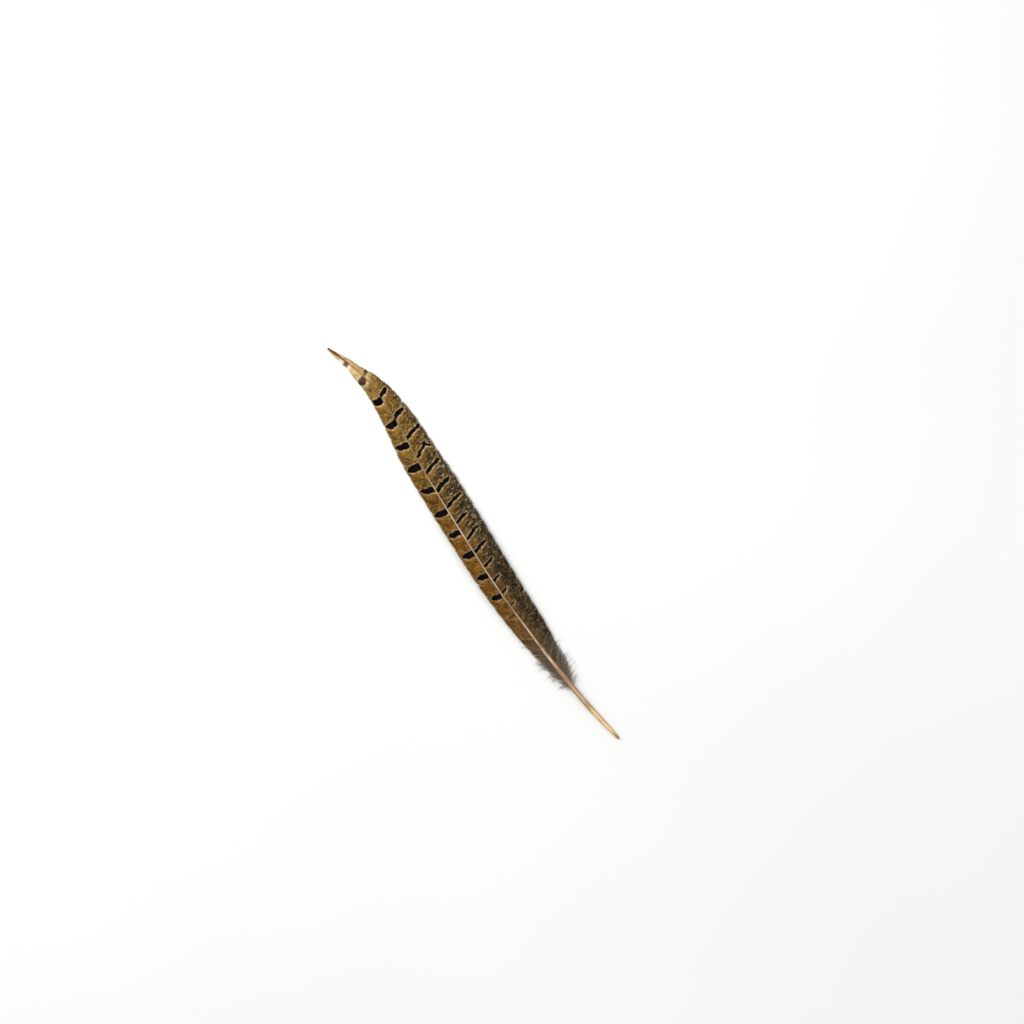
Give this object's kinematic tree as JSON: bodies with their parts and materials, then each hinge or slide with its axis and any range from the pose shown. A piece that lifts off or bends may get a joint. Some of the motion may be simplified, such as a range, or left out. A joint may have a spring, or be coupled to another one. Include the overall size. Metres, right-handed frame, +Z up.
{
  "type": "pheasant tail feather",
  "caption": "Barred tail feather lying flat: a bare tapering quill, down at its foot, and a vane of barbs on each side, one wider than the other, up to a worn pointed tip.",
  "frame": {"origin": "middle of the feather's outline, on the surface it lies on", "axes": "+X from the quill's cut end to the tip, +Y to the narrower vane, +Z up, out of the feather's upper side"},
  "size_m": [0.2801, 0.0302, 0.0063],
  "materials": {
    "feather": "soft satin barbs, tan to grey-brown with black cross bars, on a pale horn quill"
  },
  "bodies": {
    "root": {"feather": "feather"}
  },
  "joints": []
}
